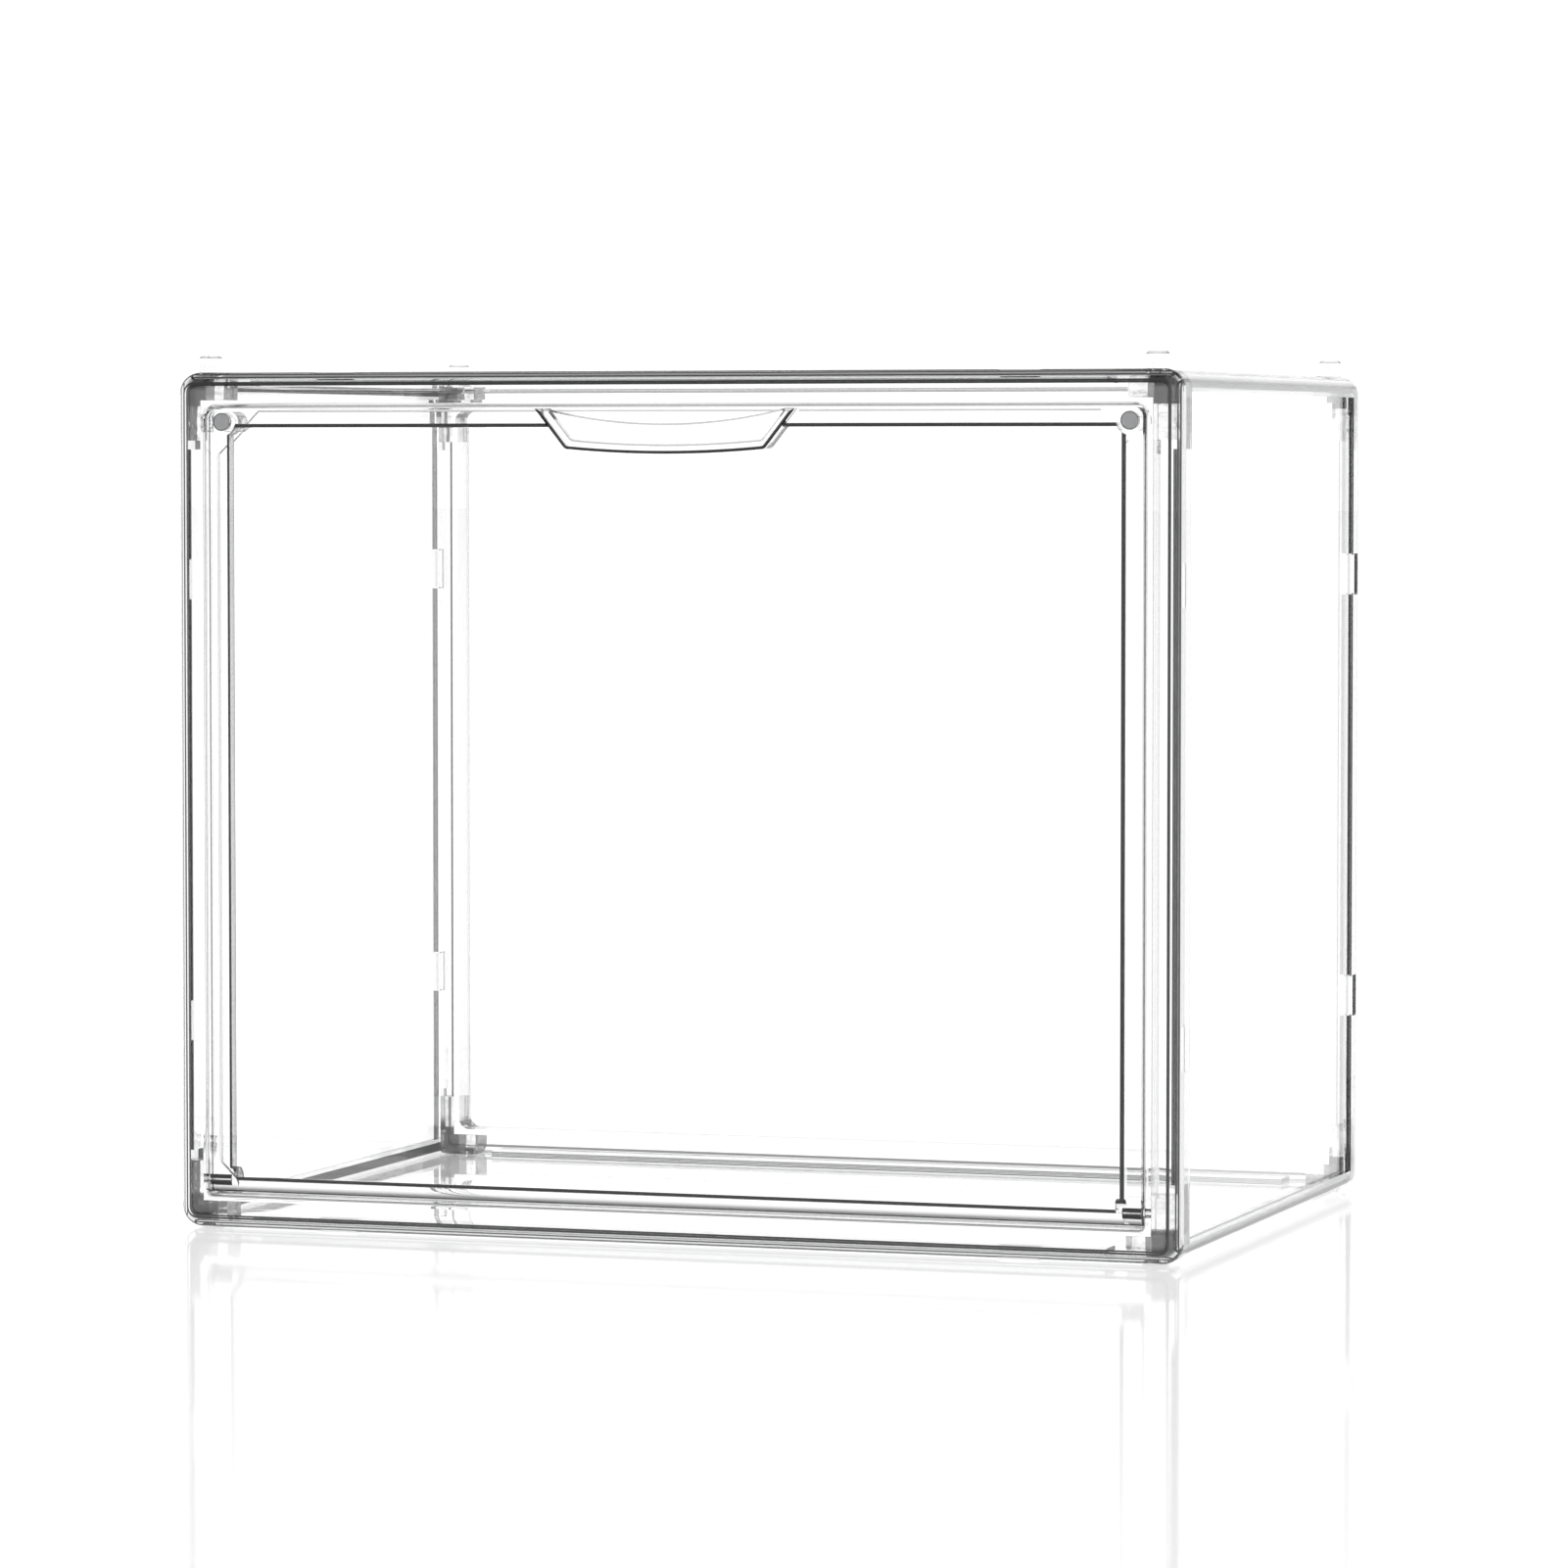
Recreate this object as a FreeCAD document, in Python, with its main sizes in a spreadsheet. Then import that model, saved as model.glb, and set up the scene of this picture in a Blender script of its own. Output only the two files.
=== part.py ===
import FreeCAD, Part
import os
import re

import Sketcher

# A clear, stackable shoe display box, in millimetres: +Z up, the door at -Y, and the
# origin on the table under the middle of the box. The case is a moulded front frame and
# back panel, joined by four panels whose edges slide into the channels of both and snap
# into windows there. The drop-front door swings on two pins at its lower corners.

SIZES = {
    # the whole box
    "width": 352.0, "depth": 248.0, "height": 290.0,
    "wall": 2.0, "corner_radius": 7.0, "frame_depth": 14.0,
    "seam": 0.15, "slip": 0.1, "past": 1.0,
    # the recess that the door lies in, and the opening behind it
    "recess_border": 11.5, "recess_depth": 9.0, "flange": 2.0,
    "recess_corner": 4.0, "recess_foot": 2.0,
    "opening_side": 14.0, "opening_top": 13.5, "opening_bottom": 14.0,
    "chamfer_top": 14.0, "chamfer_bottom": 8.0,
    # the door
    "door_gap": 1.0, "door_thickness": 8.7, "door_rim": 6.3, "door_head": 4.9,
    "door_foot": 4.1, "door_skin": 2.0, "door_corner": 3.0, "door_root": 1.4,
    "soft_edge": 0.8, "soft_root": 1.0,
    # the finger pull, measured down from the top of the box and out from its middle
    "pull_low": 27.5, "pull_bow": 1.5, "pull_half_low": 33.5, "pull_half_high": 45.5,
    "pull_floor": 2.5, "pull_inner_low": 32.3, "pull_inner_high": 42.3, "pull_round": 2.5,
    "pull_back": 2.0, "pull_edge": 1.1, "lip_half": 42.0, "lip_drop": 5.0, "lip_bevel": 0.6,
    # door magnets, and the keeper screws that face them
    "catch_side": 17.25, "catch_top": 16.75, "magnet_radius": 3.0, "magnet_length": 7.0,
    "magnet_boss": 4.75, "keeper_boss": 3.5, "keeper_boss_length": 8.0,
    "head_radius": 2.2, "head_height": 1.4, "head_dome": 0.5, "shank_radius": 1.2,
    "shank_length": 7.0, "shank_spare": 0.5,
    "cross_width": 0.6, "cross_length": 2.6, "cross_depth": 0.7,
    # hinge
    "pin_radius": 1.5, "pin_play": 0.05, "pin_length": 9.6, "pin_chamfer": 0.3,
    "pin_in_wall": 1.8, "hinge_boss_length": 9.0,
    # panels
    "panel_edge": 3.1, "panel_bevel": 3.1, "panel_bevel_in": 1.9, "rim_height": 7.5,
    "tongue_reach": 8.0, "tongue_margin": 26.0, "tongue_root": 4.0,
    # snap hooks and their windows
    "snap_length": 13.5, "snap_depth": 4.0, "snap_rise": 1.8, "snap_back": 2.0,
    "snap_low": 70.0, "snap_high": 220.0, "snap_across": 120.0, "window_play": 0.5,
    # corner connectors
    "arm_upright": 23.0, "arm_across": 18.0, "arm_thickness": 9.4,
    # stacking pegs and sockets
    "peg_radius": 4.0, "peg_rise": 5.6, "peg_side": 10.0, "peg_front": 9.0,
    "peg_shank": 3.4, "peg_depth": 3.0, "peg_round": 0.8,
    "socket_radius": 4.3, "socket_depth": 3.0,
}

# where the door and its hinge lie, and how far a pin reaches into the door
HINGE_Y = "-depth / 2 + door_thickness / 2"
HINGE_Z = "recess_border + door_gap + door_thickness / 2"
DOOR_TOP = "height - recess_border - door_gap"
DOOR_HALF = "(width / 2 - recess_border - door_gap)"
DOOR_BACK = "-depth / 2 + door_thickness"
PIN_HOLD = "(pin_length - pin_in_wall - door_gap)"

SIDES = {"left": "-1", "right": "1"}
FRONT_BACK = {"front": "-1", "back": "1"}

# edges and faces nearer than this are taken for the same; an edge this straight runs along Y
NEAR = 0.01
STRAIGHT = 0.9

doc = FreeCAD.newDocument("shoe_box")
sheet = doc.addObject("Spreadsheet::Sheet", "sizes")
for row, (alias, number) in enumerate(SIZES.items(), 1):
    sheet.set(f"A{row}", alias)
    sheet.set(f"B{row}", str(number))
    sheet.setAlias(f"B{row}", alias)
doc.recompute()


def formula(text):
    """The same formula with each size's name pointed at the sheet."""
    return re.sub(r"[a-z][a-z_]*", lambda word: "sizes." + word.group(0), str(text))


def value(text):
    return float(sheet.evalExpression(formula(text)))


def bind(made, sizes):
    for name, text in sizes.items():
        made.setExpression(name, formula(text))


def block(name, x, y, z):
    """A box between a low and a high limit along each axis."""
    made = doc.addObject("Part::Box", name)
    for axis, side, (low, high) in zip("xyz", ("Length", "Width", "Height"), (x, y, z)):
        bind(made, {".Placement.Base." + axis: low, side: f"({high}) - ({low})"})
    return made


TURNS = {
    "x": FreeCAD.Rotation(FreeCAD.Vector(0, 1, 0), 90),
    "y": FreeCAD.Rotation(FreeCAD.Vector(1, 0, 0), -90),
    "z": FreeCAD.Rotation(),
}


def rod(name, along, radius, start, length):
    """A cylinder from start, along +X, +Y or +Z."""
    made = doc.addObject("Part::Cylinder", name)
    made.Placement = FreeCAD.Placement(FreeCAD.Vector(), TURNS[along])
    bind(made, {"Radius": radius, "Height": length})
    bind(made, {".Placement.Base." + axis: text for axis, text in zip("xyz", start)})
    return made


def fuse(name, shapes):
    made = doc.addObject("Part::MultiFuse", name)
    made.Shapes = shapes
    made.Refine = True
    return made


def cut(name, base, tools):
    made = doc.addObject("Part::Cut", name)
    made.Base = base
    made.Tool = tools[0] if len(tools) == 1 else fuse(name + "_tools", tools)
    made.Refine = True
    return made


def common(name, shapes):
    made = doc.addObject("Part::MultiCommon", name)
    made.Shapes = shapes
    made.Refine = True
    return made


def mirror(name, source, normal, base=("0", "0", "0")):
    made = doc.addObject("Part::Mirroring", name)
    made.Source = source
    made.Normal = FreeCAD.Vector(*normal)
    bind(made, {"Base." + axis: text for axis, text in zip("xyz", base)})
    return made


def dress(kind, name, base, choices):
    """Rounds or chamfers the edges that each choice picks, by its own size."""
    made = doc.addObject(kind, name)
    made.Base = base
    doc.recompute()
    picked = []
    for number, edge in enumerate(base.Shape.Edges, 1):
        for choose, size in choices:
            if choose(edge):
                picked.append((number, value(size), value(size)))
    made.Edges = picked
    return made


def runs_along_y(edge):
    low, high = edge.BoundBox.YMin, edge.BoundBox.YMax
    return high - low > STRAIGHT * edge.Length


def centre(edge):
    return edge.BoundBox.Center


def upper_corner(edge):
    return runs_along_y(edge) and centre(edge).z > value("height / 2")


def lower_corner(edge):
    return runs_along_y(edge) and centre(edge).z < value("height / 2")


def on_plane(y, shortest="0", inside=None):
    """Picks edges that lie across Y at y, at least so long, and within a width if given."""
    level, least = value(y), value(shortest)

    def choose(edge):
        box = edge.BoundBox
        flat = abs(box.YMin - level) < NEAR and abs(box.YMax - level) < NEAR
        within = inside is None or max(-box.XMin, box.XMax) < inside
        return flat and edge.Length > least and within

    return choose


def recess_wide():
    """Half the recess's width, less a little: what is nearer the middle is the opening's."""
    return value("width / 2 - recess_border - slip")


def label(made, name):
    made.Label = name
    return made


# ---- shells of the front frame and back panel ----

def end_shell(name, side):
    """The open-backed outer shell at the front (side -1) or back (side 1) of the box.

    Every outer edge is round, with ball corners, and the hollow follows it a wall inside.
    """
    def limits(outside, inside):
        near = f"depth / 2 - ({inside})"
        far = f"depth / 2 - ({outside})"
        return (near, far) if side > 0 else (f"-({far})", f"-({near})")

    def rounded(part, inset, inside, radius):
        body = block(
            f"{name}_{part}_block",
            (f"-width / 2 + ({inset})", f"width / 2 - ({inset})"),
            limits(inset, inside),
            (inset, f"height - ({inset})"),
        )
        open_face = side * value(f"depth / 2 - ({inside})")

        def closed(edge):
            return abs(centre(edge).y - open_face) > NEAR

        return dress("Part::Fillet", f"{name}_{part}", body, [(closed, radius)])

    outside = rounded("outside", "0", "frame_depth", "corner_radius")
    hollow = rounded("hollow", "wall", "frame_depth + past", "corner_radius - wall")
    return cut(f"{name}_shell", outside, [hollow])


def windows(name, side):
    """Cut-outs in the shell's four walls for the snap hooks of the panels."""
    tools = []
    near = "depth / 2 - frame_depth + snap_back - window_play"
    far = "depth / 2 - frame_depth + snap_back + snap_depth + window_play"
    across = (near, far) if side > 0 else (f"-({far})", f"-({near})")
    half = "(snap_length / 2 + window_play)"
    for where, sign in SIDES.items():
        for level in ("snap_low", "snap_high"):
            tools.append(block(
                f"{name}_window_{where}_{level}",
                (f"({sign}) * (width / 2 - wall / 2) - wall",
                 f"({sign}) * (width / 2 - wall / 2) + wall"),
                across,
                (f"{level} - {half}", f"{level} + {half}"),
            ))
        for edge, level in (("bottom", "wall / 2"), ("top", "height - wall / 2")):
            tools.append(block(
                f"{name}_window_{edge}_{where}",
                (f"({sign}) * snap_across - {half}", f"({sign}) * snap_across + {half}"),
                across,
                (f"{level} - wall", f"{level} + wall"),
            ))
    return tools


def peg_holes(name, side):
    """Holes in the top wall for the pegs, and sockets in the bottom wall for another
    box's pegs."""
    tools = []
    for where, sign in SIDES.items():
        x = f"({sign}) * (width / 2 - peg_side)"
        y = f"({side}) * (depth / 2 - peg_front)"
        tools.append(rod(f"{name}_peg_hole_{where}", "z", "peg_shank + pin_play",
                         (x, y, "height - 2 * wall"), "3 * wall"))
        tools.append(rod(f"{name}_socket_{where}", "z", "socket_radius",
                         (x, y, "-wall"), "wall + socket_depth"))
    return tools


def catch_place(sign):
    return f"({sign}) * (width / 2 - catch_side)", "height - catch_top"


def front_frame():
    """The round-edged shell with a walled recess for the door and a flange behind it, whose
    opening has cut corners; the upper two carry the keeper screws."""
    name = "front_frame"
    shell = end_shell(name, -1)
    back_of_flange = "-depth / 2 + recess_depth + flange"
    ring = block(
        "recess_wall",
        ("-width / 2 + recess_border - wall", "width / 2 - recess_border + wall"),
        ("-depth / 2 + wall / 2", back_of_flange),
        ("recess_border - wall", "height - recess_border + wall"),
    )
    pieces = [shell, ring]
    tools = []
    for where, sign in SIDES.items():
        x, z = catch_place(sign)
        pieces.append(rod(f"keeper_boss_{where}", "y", "keeper_boss",
                          (x, "-depth / 2 + recess_depth", z), "flange + keeper_boss_length"))
        tools.append(rod(f"head_seat_{where}", "y", "head_radius + 2 * slip",
                         (x, "-depth / 2 + recess_depth - past", z),
                         "past + head_height + slip"))
        tools.append(rod(f"shank_bore_{where}", "y", "shank_radius + pin_play",
                         (x, "-depth / 2 + recess_depth", z),
                         "head_height + shank_length + shank_spare"))
        tools.append(rod(f"pivot_hole_{where}", "x", "pin_radius + pin_play",
                         (f"({sign}) * (width / 2 - recess_border + wall / 2) - wall",
                          HINGE_Y, HINGE_Z), "2 * wall"))
    recess = block(
        "recess_block",
        ("-width / 2 + recess_border", "width / 2 - recess_border"),
        ("-depth / 2 - past", "-depth / 2 + recess_depth"),
        ("recess_border", "height - recess_border"),
    )
    opening = block(
        "opening_block",
        ("-width / 2 + opening_side", "width / 2 - opening_side"),
        ("-depth / 2", back_of_flange + " + past"),
        ("opening_bottom", "height - opening_top"),
    )
    recess = dress("Part::Fillet", "recess", recess,
                   [(upper_corner, "recess_corner"), (lower_corner, "recess_foot")])
    opening = dress("Part::Chamfer", "opening", opening,
                    [(upper_corner, "chamfer_top"), (lower_corner, "chamfer_bottom")])
    hollowed = cut("front_frame_hollowed", fuse("front_frame_solid", pieces), [recess, opening])
    softened = dress("Part::Fillet", "front_frame_softened", hollowed, [
        (on_plane("-depth / 2"), "soft_root"),
        (on_plane("-depth / 2 + recess_depth", "height / 5", recess_wide()), "soft_edge"),
    ])
    tools += windows(name, -1)
    tools += peg_holes(name, -1)
    return label(cut("front_frame_body", softened, tools), name)


def back_panel():
    """The back sheet with a round outer wall and an inner rib, which make its channel."""
    name = "back_panel"
    shell = end_shell(name, 1)
    front = "depth / 2 - frame_depth"
    rib = block(
        "back_rib_block",
        ("-width / 2 + recess_border - wall", "width / 2 - recess_border + wall"),
        (front, "depth / 2 - wall / 2"),
        ("recess_border - wall", "height - recess_border + wall"),
    )
    inside = block(
        "back_inside",
        ("-width / 2 + recess_border", "width / 2 - recess_border"),
        (front + " - past", "depth / 2 - wall"),
        ("recess_border", "height - recess_border"),
    )
    tools = windows(name, 1) + peg_holes(name, 1)
    inner = dress("Part::Fillet", "back_hollow", inside, [(runs_along_y, "recess_corner")])
    solid = fuse("back_panel_solid", [shell, rib])
    return label(cut("back_panel_body", solid, tools + [inner]), name)


# ---- the four panels between them ----

def hook(name, turn, x, y, z, side):
    """A snap hook: a ramp that rises away from the tongue's leading edge.

    The wedge's own Y is the way the hook stands out, X runs along the hook's length and Z
    towards the channel's floor.
    """
    made = doc.addObject("Part::Wedge", name)
    made.Placement = FreeCAD.Placement(FreeCAD.Vector(), turn)
    crest = ("0", "snap_depth / 4") if side > 0 else ("3 * snap_depth / 4", "snap_depth")
    bind(made, {
        "Xmin": "-snap_length / 2", "Xmax": "snap_length / 2",
        "Ymin": "-slip", "Ymax": "snap_rise",
        "Zmin": "0", "Zmax": "snap_depth",
        "X2min": "-snap_length / 2", "X2max": "snap_length / 2",
        "Z2min": crest[0], "Z2max": crest[1],
    })
    bind(made, {".Placement.Base." + axis: text for axis, text in zip("xyz", (x, y, z))})
    return made


def hook_start(side):
    """Where a hook's low end lies along Y, at the front (-1) or back (1) channel."""
    inner = "(depth / 2 - frame_depth + snap_back)"
    return inner if side > 0 else f"-{inner} - snap_depth"


def side_panel(name, sign):
    """A flat sheet with bevelled long edges behind the rims of the top and bottom, tongues
    in both channels, and four hooks on its outer face."""
    face = "(width / 2 - wall - slip)"
    x = (f"{face} - wall", face) if sign == "1" else (f"-{face}", f"-({face} - wall)")
    reach = "depth / 2 - frame_depth - seam"
    sheet_block = block(
        name + "_block", x, (f"-({reach})", reach), ("panel_edge", "height - panel_edge"),
    )
    bevelled = doc.addObject("Part::Chamfer", name + "_sheet")
    bevelled.Base = sheet_block
    doc.recompute()
    outer = value(f"({sign}) * {face}")
    bevelled.Edges = [
        (number, value("panel_bevel"), value("panel_bevel_in"))
        if first_side_is_outer(sheet_block.Shape, edge, outer)
        else (number, value("panel_bevel_in"), value("panel_bevel"))
        for number, edge in enumerate(sheet_block.Shape.Edges, 1)
        if runs_along_y(edge) and abs(centre(edge).x - outer) < NEAR
    ]
    full = "depth / 2 - frame_depth + tongue_reach"
    tongue = block(
        name + "_tongue", x, (f"-({full})", full), ("tongue_margin", "height - tongue_margin"),
    )
    hooks = []
    for end, side in FRONT_BACK.items():
        for level in ("snap_low", "snap_high"):
            hooks.append(hook(f"{name}_hook_{end}_{level}", axes_turn("z", sign),
                              f"({sign}) * {face}", hook_start(int(side)), level, int(side)))
    return label(fuse(name + "_body", [bevelled, tongue] + hooks), name)


def first_side_is_outer(shape, edge, outer):
    """Whether the first face that meets this edge is the sheet's outer face."""
    faces = shape.ancestorsOfType(edge, Part.Face)
    return abs(faces[0].CenterOfMass.x - outer) < NEAR


def axes_turn(length_axis, sign):
    """Turns a hook: its X along the length axis, its Y outwards and its Z along +Y."""
    out = float(sign)
    if length_axis == "z":
        columns = (FreeCAD.Vector(0, 0, out), FreeCAD.Vector(out, 0, 0), FreeCAD.Vector(0, 1, 0))
    else:
        columns = (FreeCAD.Vector(-out, 0, 0), FreeCAD.Vector(0, 0, out), FreeCAD.Vector(0, 1, 0))
    return FreeCAD.Rotation(*columns, "XYZ")


def flat_panel(name, top):
    """The bottom (or top) panel: a sheet whose long edges turn up into low round rims, with
    a stepped tongue at the front and back."""
    reach = "depth / 2 - frame_depth - seam"
    long = (f"-({reach})", reach)

    def level(low, high):
        return (f"height - ({high})", f"height - ({low})") if top else (low, high)

    def tray(part, inset, radius, rise):
        body = block(f"{name}_{part}_block",
                     (f"-width / 2 + ({inset})", f"width / 2 - ({inset})"),
                     long if inset == "0" else (f"-({reach}) - past", f"{reach} + past"),
                     level(inset, rise))
        outer = value("height - (%s)" % inset) if top else value(inset)

        def lower(edge):
            return runs_along_y(edge) and abs(centre(edge).z - outer) < NEAR

        return dress("Part::Fillet", f"{name}_{part}", body, [(lower, radius)])

    outside = tray("outside", "0", "corner_radius", "rim_height")
    hollow = tray("hollow", "wall", "corner_radius - wall", "rim_height + past")
    pieces = [cut(name + "_tray", outside, [hollow])]
    half = "(width / 2 - tongue_margin)"
    sign = "1" if top else "-1"
    for end, side in FRONT_BACK.items():
        def along(inner, outer):
            near = f"depth / 2 - frame_depth + ({inner})"
            far = f"depth / 2 - frame_depth + ({outer})"
            return (near, far) if side == "1" else (f"-({far})", f"-({near})")

        pieces.append(block(f"{name}_tongue_{end}", (f"-{half}", half),
                            along("-tongue_root", "tongue_reach"),
                            level("wall + slip", "2 * wall + slip")))
        pieces.append(block(f"{name}_root_{end}", (f"-{half}", half),
                            along("-tongue_root", "-seam"),
                            level("wall / 2", "wall * 3 / 2")))
        for where, across in SIDES.items():
            face = "height - wall - slip" if top else "wall + slip"
            pieces.append(hook(f"{name}_hook_{end}_{where}", axes_turn("x", sign),
                               f"({across}) * snap_across", hook_start(int(side)),
                               face, int(side)))
    return label(fuse(name + "_body", pieces), name)


# ---- corner connectors and stacking pegs ----

def connector(name, bore, bore_depth):
    """The front right top connector: a round-cornered block in the corner of the channel,
    with a thin arm down the upright and a deep one across, bored from above for a peg."""
    clear = "(wall + slip)"
    core = block(
        name + "_core_block",
        (f"-width / 2 + {clear}", f"width / 2 - {clear}"),
        (f"-depth / 2 + {clear}", "-depth / 2 + frame_depth - slip"),
        (clear, f"height - {clear}"),
    )
    back = value("-depth / 2 + frame_depth - slip")

    def closed(edge):
        return abs(centre(edge).y - back) > NEAR

    rounded = dress("Part::Fillet", name + "_core", core, [(closed, f"corner_radius - {clear}")])
    thick = "arm_thickness"
    shapes = [
        block(name + "_upright", (f"width / 2 - {thick}", "width / 2"),
              ("-depth / 2", f"-depth / 2 + {thick}"), ("height - arm_upright", "height")),
        block(name + "_across", ("width / 2 - arm_across", "width / 2"),
              ("-depth / 2", "-depth / 2 + frame_depth"), (f"height - {thick}", "height")),
    ]
    made = common(name + "_solid", [rounded, fuse(name + "_arms", shapes)])
    hole = rod(name + "_bore", "z", bore,
               ("width / 2 - peg_side", "-depth / 2 + peg_front", f"height - ({bore_depth})"),
               f"{bore_depth} + past")
    return cut(name + "_bored", made, [hole])


def connectors():
    made = {}
    middle = ("0", "0", "height / 2")
    seat = connector("top_connector", "peg_shank + pin_play", "wall + slip + peg_depth")
    socket = connector("bottom_connector", "socket_radius", "socket_depth")
    top = {("front", "right"): seat}
    bottom = {("front", "right"): mirror("bottom_connector_right", socket, (0, 0, 1), middle)}
    for level, corners in (("top", top), ("bottom", bottom)):
        source = corners[("front", "right")]
        corners[("front", "left")] = mirror(f"{level}_front_left", source, (1, 0, 0))
        for where in SIDES:
            corners[("back", where)] = mirror(f"{level}_back_{where}", corners[("front", where)],
                                              (0, 1, 0))
        for (end, where), piece in corners.items():
            name = f"corner_connector_{end}_{level}_{where}"
            made[name] = label(piece, name)
    return made


def origin_plane(body, role):
    return next(item for item in body.Origin.OriginFeatures if item.Role == role)


def turned(name, profile):
    """A body turned about its own Z axis from a closed outline of (radius, height) corners."""
    body = doc.addObject("PartDesign::Body", name)
    outline = body.newObject("Sketcher::SketchObject", name + "_outline")
    outline.AttachmentSupport = [(origin_plane(body, "XZ_Plane"), "")]
    outline.MapMode = "FlatFace"
    corners = [FreeCAD.Vector(value(radius), value(rise), 0) for radius, rise in profile]
    for start, end in zip(corners, corners[1:] + corners[:1]):
        outline.addGeometry(Part.LineSegment(start, end), False)
    count = len(corners)
    for index in range(count):
        outline.addConstraint(Sketcher.Constraint("Coincident", index, 2, (index + 1) % count, 1))
    for index, (radius, rise) in enumerate(profile):
        for kind, axis, text in (("DistanceX", -2, radius), ("DistanceY", -1, rise)):
            if text == "0":
                outline.addConstraint(Sketcher.Constraint("PointOnObject", index, 1, axis))
                continue
            rule = Sketcher.Constraint(kind, -1, 1, index, 1, value(text))
            number = outline.addConstraint(rule)
            outline.setExpression(f"Constraints[{number}]", formula(text))
    turn = body.newObject("PartDesign::Revolution", name + "_turning")
    turn.Profile = outline
    turn.ReferenceAxis = (outline, ["V_Axis"])
    turn.Angle = 360.0
    body.Tip = turn
    return body


def place(body, along, start):
    body.Placement = FreeCAD.Placement(FreeCAD.Vector(), TURNS[along])
    bind(body, {".Placement.Base." + axis: text for axis, text in zip("xyz", start)})
    return body


def stacking_pegs():
    seat = "(peg_depth + wall)"
    tall = "(peg_depth + wall + peg_rise)"
    made = {}
    for end, side in FRONT_BACK.items():
        for where, sign in SIDES.items():
            name = f"stacking_peg_{end}_{where}"
            peg = turned(name + "_body", [
                ("0", "0"), ("peg_shank", "0"), ("peg_shank", seat), ("peg_radius", seat),
                ("peg_radius", f"{tall} - peg_round"),
                ("peg_radius - peg_round", tall), ("0", tall),
            ])
            place(peg, "z", (f"({sign}) * (width / 2 - peg_side)",
                             f"({side}) * (depth / 2 - peg_front)",
                             "height - wall - peg_depth"))
            made[name] = label(peg, name)
    return made


# ---- the door and what it carries ----

def pull_shape(name, half_low, half_high, low, y):
    """A shallow trapezoid block, wider at the top, with a bowed and round-cornered bottom."""
    wedge = doc.addObject("Part::Wedge", name + "_wedge")
    upright = FreeCAD.Rotation(FreeCAD.Vector(1, 0, 0), 90)
    wedge.Placement = FreeCAD.Placement(FreeCAD.Vector(), upright)
    bind(wedge, {
        "Xmin": f"-({half_low})", "Xmax": half_low,
        "X2min": f"-({half_high})", "X2max": half_high,
        "Ymin": low, "Ymax": DOOR_TOP,
        "Zmin": f"-({y[1]})", "Zmax": f"-({y[0]})",
        "Z2min": f"-({y[1]})", "Z2max": f"-({y[0]})",
    })
    radius = f"(({half_low}) * ({half_low}) + pull_bow * pull_bow) / (2 * pull_bow)"
    bow = rod(name + "_bow", "y", radius, ("0", f"{y[0]} - past", f"{low} + {radius}"),
              f"({y[1]}) - ({y[0]}) + 2 * past")
    shape = common(name + "_bowed", [wedge, bow])
    level = value(f"{low} + 3 * pull_bow")

    def foot(edge):
        return runs_along_y(edge) and centre(edge).z < level

    return dress("Part::Fillet", name, shape, [(foot, "pull_round")])


def door_panel():
    """A shallow tray with its skin at the front: a rim all round, its lower edge fully round
    about the hinge, bosses for the magnets and pins, and a notch for the finger pull."""
    slab = block("door_slab", (f"-{DOOR_HALF}", DOOR_HALF), ("-depth / 2", DOOR_BACK),
                 (HINGE_Z, DOOR_TOP))
    rounded = dress("Part::Fillet", "door_plate", slab, [(upper_corner, "door_corner")])
    foot = rod("door_round_foot", "x", "door_thickness / 2", (f"-{DOOR_HALF}", HINGE_Y, HINGE_Z),
               f"2 * {DOOR_HALF}")
    solid = fuse("door_solid", [rounded, foot])

    behind = ("-depth / 2 + door_skin", DOOR_BACK + " + past")
    inner = block("door_inside_block",
                  (f"-{DOOR_HALF} + door_rim", f"{DOOR_HALF} - door_rim"), behind,
                  ("recess_border + door_gap + door_foot", f"{DOOR_TOP} - door_head"))
    tray = dress("Part::Fillet", "door_inside", inner, [
        (runs_along_y, "door_corner"), (on_plane("-depth / 2 + door_skin"), "door_root"),
    ])
    kept = []
    bores = []
    for where, sign in SIDES.items():
        x, z = catch_place(sign)
        kept.append(rod(f"magnet_boss_{where}", "y", "magnet_boss", (x, "-depth / 2", z),
                        "door_thickness + 2 * past"))
        bores.append(rod(f"magnet_bore_{where}", "y", "magnet_radius + pin_play",
                         (x, f"{DOOR_BACK} - magnet_length - 2 * slip", z),
                         "magnet_length + past"))
        right = sign == "1"
        boss_start = f"{DOOR_HALF} - hinge_boss_length" if right else f"-{DOOR_HALF}"
        kept.append(rod(f"hinge_boss_{where}", "x", "door_thickness / 2",
                        (boss_start, HINGE_Y, HINGE_Z), "hinge_boss_length"))
        bore_start = f"{DOOR_HALF} - {PIN_HOLD} - slip" if right else f"-{DOOR_HALF} - past"
        bores.append(rod(f"pin_bore_{where}", "x", "pin_radius + pin_play",
                         (bore_start, HINGE_Y, HINGE_Z), f"{PIN_HOLD} + past + slip"))
    scoop = cut("door_scoop", tray, kept)
    notch = pull_shape("pull_notch", "pull_half_low + slip", "pull_half_high + slip",
                       "height - pull_low - slip", ("-depth / 2 - past", DOOR_BACK + " + past"))
    return label(cut("door_panel_body", solid, [scoop, notch] + bores), "door_panel")


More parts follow.
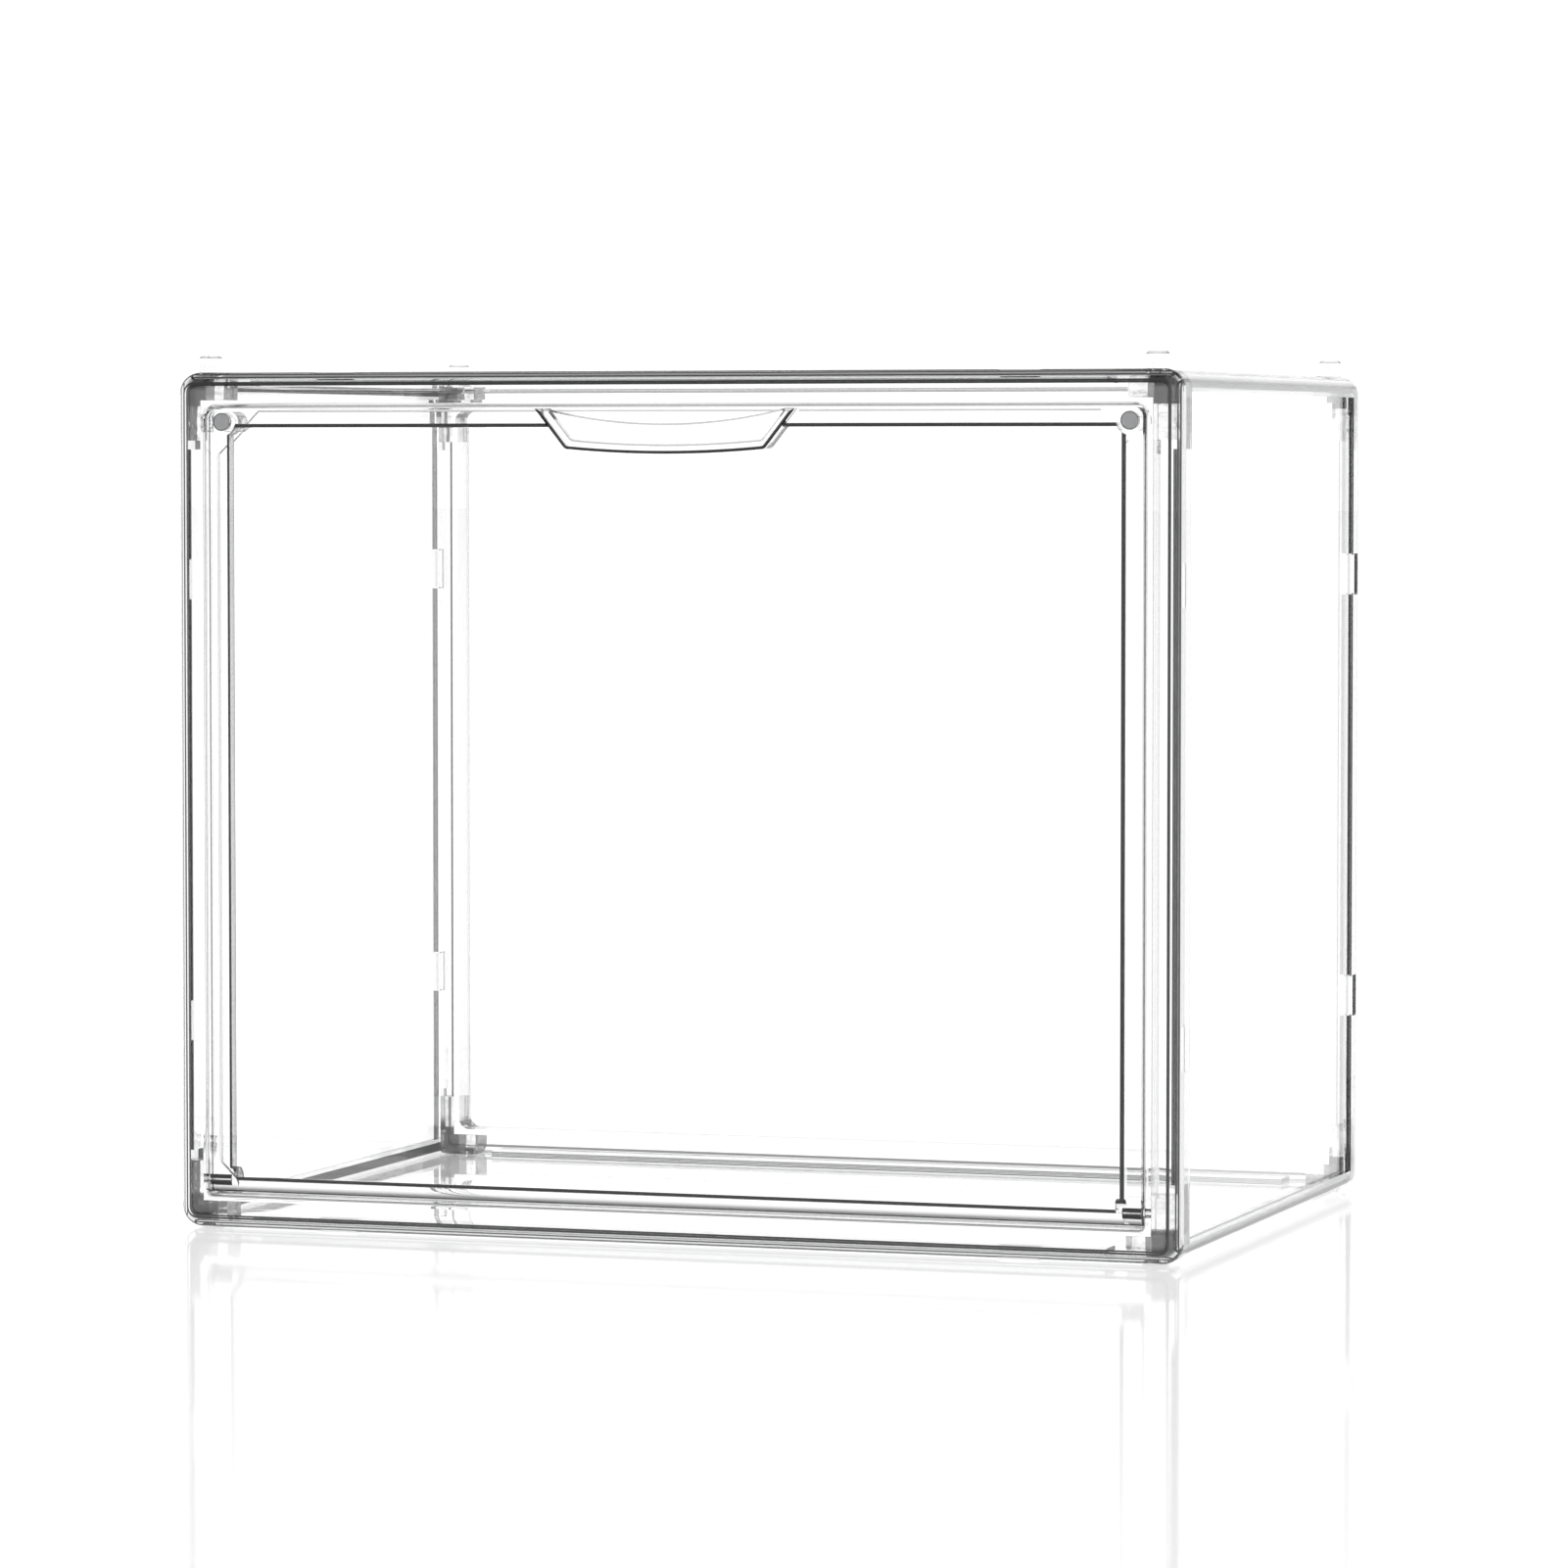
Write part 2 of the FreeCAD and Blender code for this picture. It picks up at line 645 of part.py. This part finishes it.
def finger_pull():
    """The scooped pull in the door's notch: a pocket open at the top, behind a dipped lip."""
    sharp = pull_shape("pull_sharp", "pull_half_low", "pull_half_high",
                       "height - pull_low", ("-depth / 2", DOOR_BACK))
    outside = dress("Part::Fillet", "pull_outside", sharp, [(on_plane("-depth / 2"), "pull_edge")])
    hollow = pull_shape("pull_hollow", "pull_inner_low", "pull_inner_high",
                        "height - pull_low + pull_floor",
                        ("-depth / 2 + door_skin", DOOR_BACK + " - pull_back"))
    top = value(DOOR_TOP)
    in_front = on_plane("-depth / 2 + door_skin")

    def pocket_root(edge):
        return in_front(edge) and centre(edge).z < top - NEAR

    pocket = dress("Part::Fillet", "pull_pocket", hollow, [(pocket_root, "soft_root")])
    lip_radius = "((lip_half * lip_half + lip_drop * lip_drop) / (2 * lip_drop))"
    lip_centre = f"{DOOR_TOP} - lip_drop + {lip_radius}"
    lip = rod("lip_arc", "y", lip_radius, ("0", "-depth / 2 - past", lip_centre),
              "door_skin + past")
    bevel = doc.addObject("Part::Cone", "lip_bevel_cone")
    bevel.Placement = FreeCAD.Placement(FreeCAD.Vector(), TURNS["y"])
    bind(bevel, {
        "Radius1": f"{lip_radius} + lip_bevel", "Radius2": lip_radius, "Height": "lip_bevel",
        ".Placement.Base.y": "-depth / 2", ".Placement.Base.z": lip_centre,
    })
    return label(cut("finger_pull_body", outside, [pocket, lip, bevel]), "finger_pull")


def door_fittings():
    """Magnets in the door, hinge pins through its lower corners, and keeper screws."""
    made = {}
    for where, sign in SIDES.items():
        x, z = catch_place(sign)
        magnet = turned(f"magnet_{where}", [
            ("0", "0"), ("magnet_radius - pin_chamfer", "0"), ("magnet_radius", "pin_chamfer"),
            ("magnet_radius", "magnet_length - pin_chamfer"),
            ("magnet_radius - pin_chamfer", "magnet_length"), ("0", "magnet_length"),
        ])
        place(magnet, "y", (x, f"{DOOR_BACK} - magnet_length - slip", z))
        made[f"door_magnet_{where}"] = label(magnet, f"door_magnet_{where}")

        pin = turned(f"pin_{where}", [
            ("0", "0"), ("pin_radius - pin_chamfer", "0"), ("pin_radius", "pin_chamfer"),
            ("pin_radius", "pin_length - pin_chamfer"),
            ("pin_radius - pin_chamfer", "pin_length"), ("0", "pin_length"),
        ])
        outer = "(width / 2 - recess_border + pin_in_wall)"
        start = f"{outer} - pin_length" if sign == "1" else f"-{outer}"
        place(pin, "x", (start, HINGE_Y, HINGE_Z))
        made[f"hinge_pin_{where}"] = label(pin, f"hinge_pin_{where}")
        made[f"keeper_screw_{where}"] = keeper_screw(where, x, z)
    return made


def keeper_screw(where, x, z):
    """A small pan-head screw with a cross recess, its shank along +Y."""
    tall = "head_height + shank_length"
    screw = turned(f"screw_{where}", [
        ("0", "0"), ("head_radius - head_dome", "0"), ("head_radius", "head_dome"),
        ("head_radius", "head_height"), ("shank_radius", "head_height"),
        ("shank_radius", f"{tall} - shank_radius"), ("0", tall),
    ])
    doc.recompute()
    slots = screw.newObject("Sketcher::SketchObject", f"cross_{where}")
    slots.AttachmentSupport = [(origin_plane(screw, "XY_Plane"), "")]
    slots.MapMode = "FlatFace"
    half, thin = value("cross_length / 2"), value("cross_width / 2")
    outline = [(half, thin), (thin, thin), (thin, half), (-thin, half), (-thin, thin),
               (-half, thin), (-half, -thin), (-thin, -thin), (-thin, -half), (thin, -half),
               (thin, -thin), (half, -thin)]
    points = [FreeCAD.Vector(across, up, 0) for across, up in outline]
    for start, end in zip(points, points[1:] + points[:1]):
        slots.addGeometry(Part.LineSegment(start, end), False)
    solid_before = screw.Shape.Volume
    recess = screw.newObject("PartDesign::Pocket", f"cross_pocket_{where}")
    recess.Profile = slots
    recess.Reversed = True
    bind(recess, {"Length": "cross_depth"})
    screw.Tip = recess
    doc.recompute()
    if screw.Shape.Volume > solid_before - 0.5 * value("cross_length * cross_width * cross_depth"):
        raise RuntimeError("the cross recess cut nothing")
    place(screw, "y", (x, "-depth / 2 + recess_depth", z))
    return label(screw, f"keeper_screw_{where}")


def all_parts():
    parts = {
        "front_frame": front_frame(),
        "back_panel": back_panel(),
        "left_side_panel": side_panel("left_side_panel", "-1"),
        "right_side_panel": side_panel("right_side_panel", "1"),
        "bottom_panel": flat_panel("bottom_panel", False),
        "top_panel": flat_panel("top_panel", True),
    }
    parts.update(connectors())
    parts.update(stacking_pegs())
    parts["door_panel"] = door_panel()
    parts["finger_pull"] = finger_pull()
    parts.update(door_fittings())
    return parts


def export(parts):
    doc.recompute()
    for item in doc.Objects:
        if {"Invalid", "Error"} & set(item.State):
            raise RuntimeError(f"{item.Name} failed: {item.State}")
    for name, made in parts.items():
        shape = made.Shape
        if shape.isNull() or not shape.isValid() or len(shape.Solids) != 1:
            raise RuntimeError(f"{name} is not one valid solid: {len(shape.Solids)}")
    os.makedirs("parts", exist_ok=True)
    for name, made in parts.items():
        made.Shape.exportStep(f"parts/{name}.step")


export(all_parts())
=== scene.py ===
import bpy
import bmesh
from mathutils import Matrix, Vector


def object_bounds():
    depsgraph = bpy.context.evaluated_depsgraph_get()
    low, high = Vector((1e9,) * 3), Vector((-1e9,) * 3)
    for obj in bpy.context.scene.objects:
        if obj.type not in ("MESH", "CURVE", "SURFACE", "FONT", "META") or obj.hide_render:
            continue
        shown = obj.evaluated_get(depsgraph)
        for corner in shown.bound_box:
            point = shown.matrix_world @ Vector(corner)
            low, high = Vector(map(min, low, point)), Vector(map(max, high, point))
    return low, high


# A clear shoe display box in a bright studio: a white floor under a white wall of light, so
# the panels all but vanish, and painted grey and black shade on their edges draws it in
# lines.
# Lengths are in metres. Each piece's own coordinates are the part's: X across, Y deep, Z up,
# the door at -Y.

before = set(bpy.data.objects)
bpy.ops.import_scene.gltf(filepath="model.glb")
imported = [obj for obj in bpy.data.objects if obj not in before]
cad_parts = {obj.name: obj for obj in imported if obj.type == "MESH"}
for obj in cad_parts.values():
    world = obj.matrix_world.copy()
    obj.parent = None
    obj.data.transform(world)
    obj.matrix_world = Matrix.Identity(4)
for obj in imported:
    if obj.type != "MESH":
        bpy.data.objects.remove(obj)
CAD_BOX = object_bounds()

# ---- places on the part ----

HALF_WIDTH = 0.176
MID_HEIGHT = 0.145
WALL = 0.002
ARM = 0.0094  # how thick a corner connector's arms are

# How far out from the middle each painted dark shade line starts and stops.
DOOR_ROOT = (0.1200, 0.12205)  # along Y, where the door's skin meets its rim
PULL_EDGE = (0.1228, 0.1245)  # along Y, round the front of the finger pull
FOOT_EDGE = (0.1747, 0.1755)  # along X, on the rounded foot of either side

# ---- looks ----

IOR = 1.49
WHITE = (1.0, 1.0, 1.0, 1.0)
BLACK = (0.0, 0.0, 0.0, 1.0)
# painted shade: the grey on the rounded and sloping faces of the clear plastic
PAINTED_EDGE_SHADE = (0.8, 0.805, 0.81, 1.0)
# painted shade: the near-black of the dark lines along the clear plastic's edges
PAINTED_LINE_SHADE = (0.006, 0.006, 0.006, 1.0)
RIPPLE = 0.005
HAZE = 8.0
SQUARE = 0.985  # a face whose squared normal along an axis is above this is square to it
LINE_ROUNDNESS = (0.18, 0.28)  # the roundness at which an edge's fine lines start and stop
UPWARD = 0.2  # a face whose normal rises more than this looks upwards
LIP_STRENGTH = 0.3
STREAK = 0.45
# painted shade: how deep the shade on a connector is where its two arms cross
CORNER_SHADE = 0.92

# ---- studio ----

LIGHT = 1.25
SKY_FROM = 0.22
SKY_TO = 0.6
SKY_GREY = (0.25, 0.25, 0.25, 1.0)
FLOOR_SHINE = 0.42
FLOOR_HALF = 30.0
FLOOR_DROP = 0.0002
CAMERA_PLACE = (0.734, -2.181, 0.261)
LENS = 152.0
SENSOR = 36.0
FAR = 50.0


# ---- node helpers ----

def new_material(name):
    """A material, its empty node tree, and that tree's output."""
    material = bpy.data.materials.new(name)
    material.use_nodes = True
    tree = material.node_tree
    tree.nodes.clear()
    output = tree.nodes.new("ShaderNodeOutputMaterial")
    return material, tree, output


def add(tree, kind, inputs=None, **settings):
    """A node with these settings, its inputs set to values or linked to sockets."""
    node = tree.nodes.new(kind)
    for key, value in settings.items():
        setattr(node, key, value)
    for key, value in (inputs or {}).items():
        if isinstance(value, bpy.types.NodeSocket):
            tree.links.new(value, node.inputs[key])
        else:
            node.inputs[key].default_value = value
    return node


def math_node(tree, operation, first, second=0.0, clamp=False):
    node = add(tree, "ShaderNodeMath", {0: first, 1: second}, operation=operation)
    node.use_clamp = clamp
    return node.outputs[0]


def less(tree, amount, clamp=False):
    """1 minus an amount."""
    return math_node(tree, "SUBTRACT", 1.0, amount, clamp)


def blend(tree, factor, first, second):
    """A colour that goes from the first to the second."""
    mix = add(tree, "ShaderNodeMix", {"Factor": factor, "A": first, "B": second},
              data_type="RGBA")
    return mix.outputs["Result"]


def remap(tree, value, low, high, start=0.0, stop=1.0):
    """A value that runs from low to high while the one it follows runs from start to stop."""
    node = add(tree, "ShaderNodeMapRange", {"Value": value, "From Min": start,
                                            "From Max": stop, "To Min": low, "To Max": high})
    return node.outputs["Result"]


def noise(tree, scale, detail):
    place = add(tree, "ShaderNodeTexCoord").outputs["Object"]
    texture = add(tree, "ShaderNodeTexNoise", {"Vector": place, "Scale": scale,
                                               "Detail": detail})
    return texture.outputs["Fac"]


def bump(tree, height, strength, distance):
    node = add(tree, "ShaderNodeBump", {"Height": height, "Strength": strength,
                                        "Distance": distance})
    return node.outputs["Normal"]


# ---- masks on the object's own shape ----

def part_of(tree, coordinate, axis):
    """One axis of a texture coordinate."""
    whole = add(tree, "ShaderNodeTexCoord").outputs[coordinate]
    return add(tree, "ShaderNodeSeparateXYZ", {0: whole}).outputs[axis]


def squared_normal(tree, axis):
    """How squarely a face in the object's own frame looks along an axis, 0 to 1."""
    along = math_node(tree, "ABSOLUTE", part_of(tree, "Normal", axis))
    return math_node(tree, "POWER", along, 2.0)


def roundness(tree):
    """0 on faces square to any axis, rising to a half on the middle of a rounded edge."""
    most = squared_normal(tree, "X")
    for axis in "YZ":
        most = math_node(tree, "MAXIMUM", most, squared_normal(tree, axis))
    return less(tree, most, clamp=True)


def between(tree, value, limits):
    """1 where the value lies between two limits, else 0."""
    low, high = limits
    above = math_node(tree, "GREATER_THAN", value, low)
    return math_node(tree, "MULTIPLY", above, math_node(tree, "LESS_THAN", value, high))


def distance(tree, axis, middle=0.0):
    """How far a point of the object is from a place along one axis."""
    offset = math_node(tree, "SUBTRACT", part_of(tree, "Object", axis), middle)
    return math_node(tree, "ABSOLUTE", offset)


def edge_lines(tree):
    """Fine painted dark shade lines that run along each side of a rounded edge."""
    return between(tree, roundness(tree), LINE_ROUNDNESS)


def root_line(axis, limits):
    """A painted dark shade line on whatever isn't square to the axis, between two distances
    along it.
    """
    def line(tree):
        steep = math_node(tree, "LESS_THAN", squared_normal(tree, axis), SQUARE)
        return math_node(tree, "MULTIPLY", steep, between(tree, distance(tree, axis), limits))

    return line


def fainter_above(line, strength):
    """The same painted shade line, but weaker on faces that look upwards."""
    def weaker(tree):
        upward = math_node(tree, "GREATER_THAN", part_of(tree, "Normal", "Z"), UPWARD)
        kept = less(tree, math_node(tree, "MULTIPLY", upward, 1.0 - strength))
        return math_node(tree, "MULTIPLY", line(tree), kept)

    return weaker


def corner_mask(tree):
    """1 in the square where a corner connector's two arms cross, which gets painted shade,
    else 0.
    """
    across = math_node(tree, "GREATER_THAN", distance(tree, "X"), HALF_WIDTH - WALL - ARM)
    upright = math_node(tree, "GREATER_THAN", distance(tree, "Z", MID_HEIGHT),
                        MID_HEIGHT - WALL - ARM)
    return math_node(tree, "MULTIPLY", across, upright)


# ---- materials ----

def clear_plastic(name, axis, line=None, depth=0.9):
    """Polished clear styrene: faint flow ripples, painted grey shade on its edges where light
    runs inside, and painted dark shade lines where its edges trap the light."""
    material, tree, output = new_material(name)
    # painted shade: faces not square to the axis are coloured grey
    edge_shade_mask = less(tree, squared_normal(tree, axis), clamp=True)
    colour = blend(tree, edge_shade_mask, WHITE, PAINTED_EDGE_SHADE)
    through = 1.0
    if line:
        # painted shade: near-black lines where the mask is set, which let less light through
        line_shade_mask = math_node(tree, "MULTIPLY", line(tree), depth)
        colour = blend(tree, line_shade_mask, colour, PAINTED_LINE_SHADE)
        through = less(tree, line_shade_mask)
    shader = add(tree, "ShaderNodeBsdfPrincipled", {
        "Base Color": colour,
        "Roughness": remap(tree, noise(tree, 90.0, 5.0), 0.0, 0.012, 0.55, 0.8),
        "IOR": IOR,
        "Transmission Weight": through,
        "Normal": bump(tree, noise(tree, 18.0, 2.0), RIPPLE, 0.0004),
    })
    haze = add(tree, "ShaderNodeVolumeAbsorption", {"Color": BLACK, "Density": HAZE})
    tree.links.new(shader.outputs[0], output.inputs["Surface"])
    tree.links.new(haze.outputs[0], output.inputs["Volume"])
    return material


def block_plastic(name, tint, grain, painted_shade_mask=None):
    """The same plastic in a small thick moulding: a little streaked, and greyer with painted
    shade where a mask says so."""
    material, tree, output = new_material(name)
    streak = noise(tree, grain, 4.0)
    tone = remap(tree, streak, tint, min(1.0, tint + STREAK), 0.3, 0.7)
    if painted_shade_mask:
        # painted shade: less bright where the mask is set
        shade = less(tree, math_node(tree, "MULTIPLY", painted_shade_mask(tree), CORNER_SHADE))
        tone = math_node(tree, "MULTIPLY", tone, shade)
    shader = add(tree, "ShaderNodeBsdfPrincipled", {
        "Base Color": tone,
        "Roughness": 0.08,
        "IOR": IOR,
        "Transmission Weight": 1.0,
        "Normal": bump(tree, streak, 0.4, 0.0003),
    })
    tree.links.new(shader.outputs[0], output.inputs["Surface"])
    return material


def metal(name, colour, roughness):
    """Plated or blackened metal with fine mottling."""
    material, tree, output = new_material(name)
    mottle = noise(tree, 900.0, 4.0)
    dark = tuple(0.6 * channel for channel in colour) + (1.0,)
    shader = add(tree, "ShaderNodeBsdfPrincipled", {
        "Base Color": blend(tree, mottle, dark, colour + (1.0,)),
        "Roughness": remap(tree, mottle, roughness, roughness + 0.2),
        "Metallic": 1.0,
    })
    tree.links.new(shader.outputs[0], output.inputs["Surface"])
    return material


def paint(material, *nodes):
    for node in nodes:
        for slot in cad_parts[node].material_slots:
            slot.material = material


def starting(text):
    return [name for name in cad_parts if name.startswith(text)]


def finishes():
    # Each clear panel gets painted grey shade on its edges, and the masks and depths below
    # paint its dark shade lines.
    paint(clear_plastic("clear_frame", "Y", edge_lines, 0.95), "front_frame")
    paint(clear_plastic("clear_back", "Y", edge_lines, 0.6), "back_panel")
    paint(clear_plastic("clear_door", "Y", root_line("Y", DOOR_ROOT), 1.0), "door_panel")
    pull_line = fainter_above(root_line("Y", PULL_EDGE), LIP_STRENGTH)
    paint(clear_plastic("clear_pull", "Y", pull_line, 0.97), "finger_pull")
    paint(clear_plastic("clear_side", "X"), "left_side_panel", "right_side_panel")
    paint(clear_plastic("clear_bottom", "Z", root_line("X", FOOT_EDGE), 1.0), "bottom_panel")
    paint(clear_plastic("clear_top", "Z", edge_lines, 0.4), "top_panel")
    # painted shade on the corner connectors where their arms cross
    corner = block_plastic("corner_block", 0.6, 420.0, corner_mask)
    paint(corner, *starting("corner_connector"))
    peg = block_plastic("peg_block", 0.7, 200.0)
    paint(peg, *starting("stacking_peg"), *starting("hinge_pin"))
    paint(metal("magnet_nickel", (0.42, 0.43, 0.44), 0.35), *starting("door_magnet"))
    paint(metal("screw_steel", (0.2, 0.2, 0.21), 0.3), *starting("keeper_screw"))


# ---- surroundings ----

def sky():
    """A white surround that turns grey overhead."""
    world = bpy.data.worlds.new("studio_light")
    bpy.context.scene.world = world
    world.use_nodes = True
    tree = world.node_tree
    tree.nodes.clear()
    output = tree.nodes.new("ShaderNodeOutputWorld")
    ramp = add(tree, "ShaderNodeValToRGB", {"Fac": part_of(tree, "Generated", "Z")})
    low, high = ramp.color_ramp.elements
    low.position = SKY_FROM
    low.color = WHITE
    high.position = SKY_TO
    high.color = SKY_GREY
    light = add(tree, "ShaderNodeBackground", {"Color": ramp.outputs["Color"],
                                               "Strength": LIGHT})
    tree.links.new(light.outputs[0], output.inputs["Surface"])


def floor():
    """A white light-table floor with a soft shine."""
    mesh = bpy.data.meshes.new("floor")
    build = bmesh.new()
    bmesh.ops.create_grid(build, x_segments=1, y_segments=1, size=FLOOR_HALF)
    build.to_mesh(mesh)
    build.free()
    table = bpy.data.objects.new("floor", mesh)
    bpy.context.scene.collection.objects.link(table)
    table.location.z = -FLOOR_DROP
    material, tree, output = new_material("pale_floor")
    glow = add(tree, "ShaderNodeEmission", {"Color": WHITE, "Strength": LIGHT})
    shine = add(tree, "ShaderNodeBsdfAnisotropic", {"Color": WHITE, "Roughness": 0.08})
    mixed = add(tree, "ShaderNodeMixShader", {0: FLOOR_SHINE, 1: glow.outputs[0],
                                              2: shine.outputs[0]})
    tree.links.new(mixed.outputs[0], output.inputs["Surface"])
    mesh.materials.append(material)


def camera():
    """Looks at the middle of the part."""
    data = bpy.data.cameras.new("camera")
    eye = bpy.data.objects.new("camera", data)
    bpy.context.scene.collection.objects.link(eye)
    low, high = CAD_BOX
    target = (low + high) / 2
    data.lens = LENS
    data.sensor_width = SENSOR
    data.clip_end = FAR
    eye.location = CAMERA_PLACE
    eye.rotation_mode = "QUATERNION"
    eye.rotation_quaternion = (target - eye.location).to_track_quat("-Z", "Y")
    bpy.context.scene.camera = eye


def light_paths():
    """A plain view transform, and enough bounces to see through every wall."""
    scene = bpy.context.scene
    scene.view_settings.view_transform = "Standard"
    scene.view_settings.look = "None"
    scene.cycles.max_bounces = 48
    scene.cycles.transmission_bounces = 40
    scene.cycles.glossy_bounces = 40
    scene.cycles.diffuse_bounces = 3
    scene.cycles.transparent_max_bounces = 32
    scene.cycles.use_denoising = True


finishes()
sky()
floor()
camera()
light_paths()
